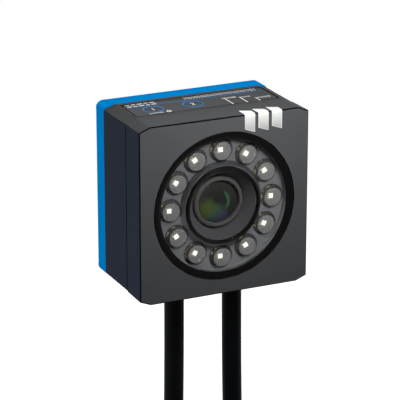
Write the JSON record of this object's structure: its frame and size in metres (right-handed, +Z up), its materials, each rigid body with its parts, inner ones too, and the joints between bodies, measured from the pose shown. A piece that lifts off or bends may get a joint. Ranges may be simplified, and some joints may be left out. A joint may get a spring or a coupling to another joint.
{
  "type": "machine vision camera",
  "caption": "Compact cube camera for machine vision: a ring light around its lens, status light windows, press keys on top, and short cable tails with round screw plugs.",
  "frame": {"origin": "middle of the rear mounting face", "axes": "+Z up, the lens looks along -Y, +Y out of the rear mounting face, +X to the right seen from the front"},
  "size_m": [0.055, 0.0333, 0.2205],
  "materials": {
    "body_black": "fine matte powder coat over die casting",
    "rear_blue": "smooth satin moulded plastic",
    "bezel_black": "polished black",
    "clear_pane": "clear, polished",
    "reflector_grey": "satin grey moulding",
    "clear_lens": "clear moulded optic",
    "board_green": "solder mask over glass laminate",
    "board_black": "black solder mask",
    "led_package": "matte ceramic",
    "led_die": "lit warm white chip",
    "carrier_black": "matte moulded plastic",
    "shield_black": "satin black",
    "baffle_grey": "matte dark grey",
    "barrel_black": "black anodised, satin",
    "lens_glass": "coated optical glass",
    "screw_steel": "zinc plated",
    "brass": "turned brass",
    "chip_black": "moulded epoxy package",
    "thermal_pad": "soft silicone pad",
    "gasket": "matte rubber",
    "label_film": "printed polyester film",
    "print_blue": "screen print",
    "print_white": "screen print",
    "button_film": "matte moulded key",
    "light_white": "milky translucent plastic",
    "gland_black": "moulded rubber",
    "cable_jacket": "satin polyurethane jacket",
    "plug_black": "overmoulded plastic",
    "insert_black": "moulded contact carrier",
    "contact_gold": "gold plated",
    "coupling_nickel": "nickel plated"
  },
  "bodies": {
    "root": {"front_cover": "body_black", "main_housing": "body_black", "front_gasket": "gasket", "rear_seal": "gasket", "rear_cover": "rear_blue", "mount_inserts": "brass", "housing_screws": "screw_steel", "bezel_ring": "bezel_black", "ring_light_cover": "clear_pane", "reflector_plate": "reflector_grey", "led_lens_ring": "clear_lens", "led_board": "board_black", "led_packages": "led_package", "led_dies": "led_die", "optics_carrier": "carrier_black", "carrier_screws": "screw_steel", "light_shield": "shield_black", "lens_baffle": "baffle_grey", "lens_window": "clear_pane", "lens_barrel": "barrel_black", "lens_front_element": "lens_glass", "lens_rear_element": "lens_glass", "aperture_stop": "carrier_black", "lens_lock_ring": "barrel_black", "lens_holder": "carrier_black", "image_sensor": "chip_black", "sensor_board": "board_green", "standoffs": "brass", "board_spacers": "brass", "processor_board": "board_green", "board_screws": "screw_steel", "board_connector": "chip_black", "processor_chip": "chip_black", "thermal_pad": "thermal_pad", "label": "label_film", "label_print_blue": "print_blue", "label_print_white": "print_white", "keypad_board": "board_green", "tact_switches": "chip_black", "status_leds": "led_package", "light_pipe_left": "light_white", "light_pipe_middle": "light_white", "light_pipe_right": "light_white", "cable_gland_left": "gland_black", "cable_left": "cable_jacket", "plug_body_left": "plug_black", "plug_insert_left": "insert_black", "plug_pins_left": "contact_gold", "cable_gland_right": "gland_black", "cable_right": "cable_jacket", "plug_body_right": "plug_black", "plug_insert_right": "insert_black", "plug_pins_right": "contact_gold"},
    "button_left": {"button_left": "button_film"},
    "button_right": {"button_right": "button_film"},
    "coupling_left": {"coupling_left": "coupling_nickel"},
    "coupling_right": {"coupling_right": "coupling_nickel"}
  },
  "joints": [
    {"name": "button_left_press", "type": "slide", "parent": "root", "child": "button_left", "axis": [0, 0, 1], "range_m": [-0.0003, 0], "stiffness_N_per_m": 2500},
    {"name": "button_right_press", "type": "slide", "parent": "root", "child": "button_right", "axis": [0, 0, 1], "range_m": [-0.0003, 0], "stiffness_N_per_m": 2500},
    {"name": "coupling_left_turn", "type": "hinge", "parent": "root", "child": "coupling_left", "pos_m": [-0.0111, -0.0171, -0.185], "axis": [0, 0, 1], "continuous": true},
    {"name": "coupling_right_turn", "type": "hinge", "parent": "root", "child": "coupling_right", "pos_m": [0.0116, -0.0176, -0.185], "axis": [0, 0, 1], "continuous": true}
  ]
}
